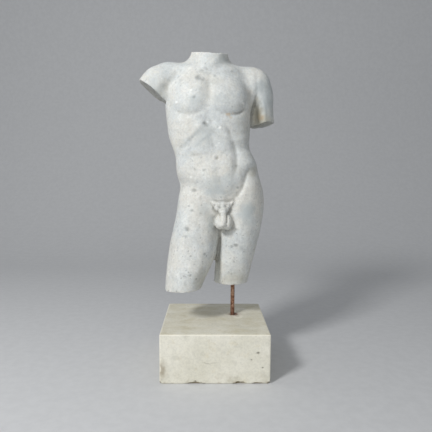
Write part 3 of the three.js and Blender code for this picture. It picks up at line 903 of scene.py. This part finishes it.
# %% [markdown]
# ## Block
# The block starts as a cube of the CAD block's size, cut into a fine grid. Each point near an edge is then drawn
# in to a rounded arris whose radius wanders between 2 and 7 mm, as on a block moved about for years. Chips are
# scooped out along the foot, and a shallow mouth round the rod shows where its hole was drilled.

# %% Cut the block's grid
GRID_CUTS = 110
low, high = (np.array(corner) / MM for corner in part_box("block"))
bm = bmesh.new()
bmesh.ops.create_cube(bm, size=1.0)
bmesh.ops.subdivide_edges(bm, edges=bm.edges, cuts=GRID_CUTS, use_grid_fill=True)
bmesh.ops.scale(bm, vec=Vector((high - low) * MM), verts=bm.verts)
bmesh.ops.translate(bm, vec=Vector((low + high) / 2 * MM), verts=bm.verts)
block_mesh = mesh_from(bm, "block_worn")
print("block grid faces:", len(block_mesh.polygons))

# %% Wear its arrises
SHARPEST, ROUNDEST = 2.0, 7.0  # the radius of an arris, in mm
points, normals = read_points(block_mesh)
radius = 4.0 + 1.4 * noise_over(points, 38, 2.0) + 1.3 * noise_over(points, 9, 4.0)
radius = np.clip(radius, SHARPEST, ROUNDEST)[:, None]
inner = np.clip(points, low + radius, high - radius)
away = points - inner
length = np.maximum(np.linalg.norm(away, axis=1, keepdims=True), 1e-9)
worn = inner + away * np.minimum(1.0, radius / length)
edge_wear = smoothstep(0.02, 0.5, np.linalg.norm(points - worn, axis=1))
print("points on arrises:", int((edge_wear > 0.1).sum()))

# %% Chip its foot
# Each chip has a centre and a reach along x, y and z, in mm.
CHIPS = [
    ((-62, low[1], 0), (24, 6, 7)),
    ((-34, low[1], 0), (9, 5, 4)),
    ((73, low[1], 0), (22, 7, 8)),
    ((128, low[1], 0), (20, 6, 6)),
    ((high[0], low[1], 0), (9, 9, 10)),
    ((low[0], low[1], 0), (7, 7, 9)),
    ((high[0], 70, 0), (6, 26, 8)),
    ((low[0], -20, 0), (5, 30, 7)),
    ((40, high[1], 0), (34, 6, 8)),
    ((low[0], high[1], 0), (10, 10, 12)),
]
chipped = np.zeros(len(points))
ragged = 1 + 0.35 * noise_over(points, 6, 8.0)
for centre, reach in CHIPS:
    offset = (worn - np.array(centre)) / (np.array(reach) * ragged[:, None])
    r = np.linalg.norm(offset, axis=1)
    deep = r < 1
    inward = np.sign(-np.array(centre)) * (np.abs(centre) > 100) + np.array((0, 0, 0.6))
    inward = inward / np.linalg.norm(inward)
    worn[deep] += (1 - r[deep])[:, None] * inward * min(reach) * 0.9
    chipped[deep] = np.maximum(chipped[deep], 1 - r[deep] ** 4)
print("chips along the foot:", len(CHIPS))

# %% Pit its front and open the rod's hole
rod_low, rod_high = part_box("iron_rod")
rod_x, rod_y = ((rod_low + rod_high) / 2 / MM)[:2]
from_rod = np.hypot(points[:, 0] - rod_x, points[:, 1] - rod_y)
on_top = points[:, 2] > high[2] - 1
worn[:, 2] -= on_top * 7 * smoothstep(13, 7, from_rod + 1.6 * noise_over(points, 7, 1.0))
on_front = points[:, 1] < low[1] + 1
pit_share = np.zeros(len(points))
for x, z, size in [(128, 94, 5), (142, 50, 3.5), (-58, 8, 4), (108, 74, 2.6)]:
    away = np.hypot((points[:, 0] - x) / 1.3, points[:, 2] - z)
    pit_share = np.maximum(pit_share, on_front * smoothstep(size, 0.3 * size, away + 0.8 * (ragged - 1) * size))
worn[:, 1] += 2.5 * pit_share
write_points(block_mesh, worn)
print("rod enters the block at x, y in mm:", round(float(rod_x)), round(float(rod_y)))

# %% Write the block's wear and stains
points, normals = read_points(block_mesh)
patchy = np.clip(0.5 + 0.6 * noise_over(points, 24, 6.0) + 0.4 * noise_over(points, 8, 3.0), 0, 1)
low_down = smoothstep(46, 0, points[:, 2]) * smoothstep(0.45, 0.95, patchy)
left_foot = smoothstep(34, 8, np.hypot(points[:, 0] - low[0], 0.7 * (points[:, 2] - 40)))
front_vein = on_front * smoothstep(2.2, 0.4, abs(points[:, 2] - 64 - 0.05 * points[:, 0] - 8 * (patchy - 0.5)))
front_vein *= smoothstep(26, 14, abs(points[:, 0] + 14))
mark = np.hypot(points[:, 0] - rod_x - 7, 0.8 * (points[:, 1] - rod_y + 2))
spall = np.hypot(points[:, 0] - rod_x - 16, 0.7 * (points[:, 1] - rod_y + 24))
write_values(block_mesh, "film", on_top * (0.35 + 0.65 * patchy) + 0.12 * on_front * patchy)
foot_line = smoothstep(7, 1, points[:, 2]) * smoothstep(0.45, 0.8, patchy)
# On the block this value holds only dirt and brown stain: darker towards the bottom, in the chips and at the left
# corner.
dirt_values = 0.25 * low_down + chipped * (0.5 + 0.5 * patchy) + 0.7 * left_foot * patchy + 0.7 * foot_line
write_values(block_mesh, "dirt_and_shade", np.minimum(dirt_values, 0.9))
write_values(block_mesh, "pit", 0.75 * pit_share)
# On the block this value is only a grey vein across the front.
write_values(block_mesh, "vein_and_crease_shade", 0.5 * front_vein)
pale_chip = 0.7 * on_top * smoothstep(7, 3, abs(spall - 12)) * smoothstep(0, 14, rod_y - points[:, 1])
write_values(block_mesh, "rubbed", np.maximum(edge_wear * (0.5 + 0.5 * patchy) * (1 - chipped), pale_chip))
rust = 0.85 * smoothstep(13, 7, mark + 6 * (patchy - 0.5)) + 0.3 * smoothstep(30, 10, mark)
write_values(block_mesh, "rust", on_top * np.minimum(rust, 0.9))
place_piece(block_mesh, "worn_block", block_marble, "block")

# %% [markdown]
# ## Rusted iron
# Wrought bar left bare rusts all over. The rust lies in scales and blisters from deep brown to pinkish tan, and
# has no metal shine at all, so the material is not metallic. The dark and the light rust are mixed by noise at the
# size of the scales. The lowest few centimetres stay damp longest and are darker.

# %% Make the rust
rusted_iron, tree = new_material("rusted_wrought_iron")
place = add(tree, "ShaderNodeTexCoord").outputs["Object"]
body = mixed(tree, noise_share(tree, place, 8 * MM, 0.38, 0.6), "#6b4634", "#a87f66")
body = mixed(tree, noise_share(tree, place, 14 * MM, 0.5, 0.62, most=0.85), body, "#cfae96")
body = mixed(tree, noise_share(tree, place, 5 * MM, 0.55, 0.68, most=0.8), body, "#3c2820")
body = mixed(tree, height_share(tree, place, 0.2, 0.165, least=0.0, most=0.75), body, "#5d3524")
grit = grain(tree, place, 1.6 * MM, Detail=3.0)
give_surface(tree, {"Base Color": body, "Normal": bumps(tree, grit, 0.8, 0.5 * MM), "Roughness": 0.92, "IOR": 1.5})
print(rusted_iron.name, "has", len(tree.nodes), "nodes")

# %% [markdown]
# ## Rod
# The rod is a round bar 14 mm thick. A cylinder is cut into rings a little over a millimetre apart, and noise eats
# its skin by up to a millimetre, as rust does. It never grows past the CAD rod, so it still fits its holes.

# %% Turn the bar
ROD_SIDES, ROD_CUTS = 40, 220
bar = (rod_high - rod_low) / MM
bm = bmesh.new()
bmesh.ops.create_cone(
    bm, cap_ends=True, segments=ROD_SIDES, radius1=bar.x / 2 * MM, radius2=bar.x / 2 * MM, depth=bar.z * MM
)
upright = [e for e in bm.edges if abs(e.verts[0].co.z - e.verts[1].co.z) > bar.z * MM / 2]
bmesh.ops.subdivide_edges(bm, edges=upright, cuts=ROD_CUTS)
bmesh.ops.translate(bm, vec=(rod_low + rod_high) / 2, verts=bm.verts)
rod_mesh = mesh_from(bm, "rod_rusted")
print("rings on the bar:", ROD_CUTS, "over", round(bar.z), "mm")

# %% Let rust eat its skin
points, normals = read_points(rod_mesh)
eaten = np.clip(0.4 + 0.35 * noise_over(points, 6, 1.0) + 0.3 * noise_over(points, 2.6, 2.0), 0, 1.1)
middle = np.array([rod_x, rod_y])
across = points[:, :2] - middle
across_length = np.maximum(np.linalg.norm(across, axis=1, keepdims=True), 1e-6)
points[:, :2] = middle + across * (1 - eaten[:, None] / across_length)
write_points(rod_mesh, points)
place_piece(rod_mesh, "rusted_rod", rusted_iron, "iron_rod")

# %% [markdown]
# ## Floor
# A plain pale floor that curves up behind the statue gives a ground with no horizon. It is a grid whose far part is
# bent upwards. It belongs to the studio, not to the object.

# %% Make the floor
FLAT_UNTIL, BEND_RADIUS, HALF_WIDTH = 1.6, 1.5, 6  # metres
bm = bmesh.new()
bmesh.ops.create_grid(bm, x_segments=8, y_segments=60, size=HALF_WIDTH)
for vert in bm.verts:
    past = vert.co.y - FLAT_UNTIL
    if past > 0:
        angle = min(past / BEND_RADIUS, math.pi / 2)
        vert.co.y = FLAT_UNTIL + BEND_RADIUS * math.sin(angle)
        vert.co.z = BEND_RADIUS * (1 - math.cos(angle)) + past - BEND_RADIUS * angle
floor_mesh = mesh_from(bm, "floor")
floor_mesh.polygons.foreach_set("use_smooth", [True] * len(floor_mesh.polygons))
paper, tree = new_material("matt_grey_paper")
place = add(tree, "ShaderNodeTexCoord").outputs["Object"]
shade = mixed(tree, noise_share(tree, place, 30 * MM, 0.3, 0.7), "#cfd0d1", "#d4d5d6")
give_surface(tree, {"Base Color": shade, "Roughness": 0.9})
floor_mesh.materials.append(paper)
floor = bpy.data.objects.new("floor", floor_mesh)
bpy.context.scene.collection.objects.link(floor)
print("floor made")
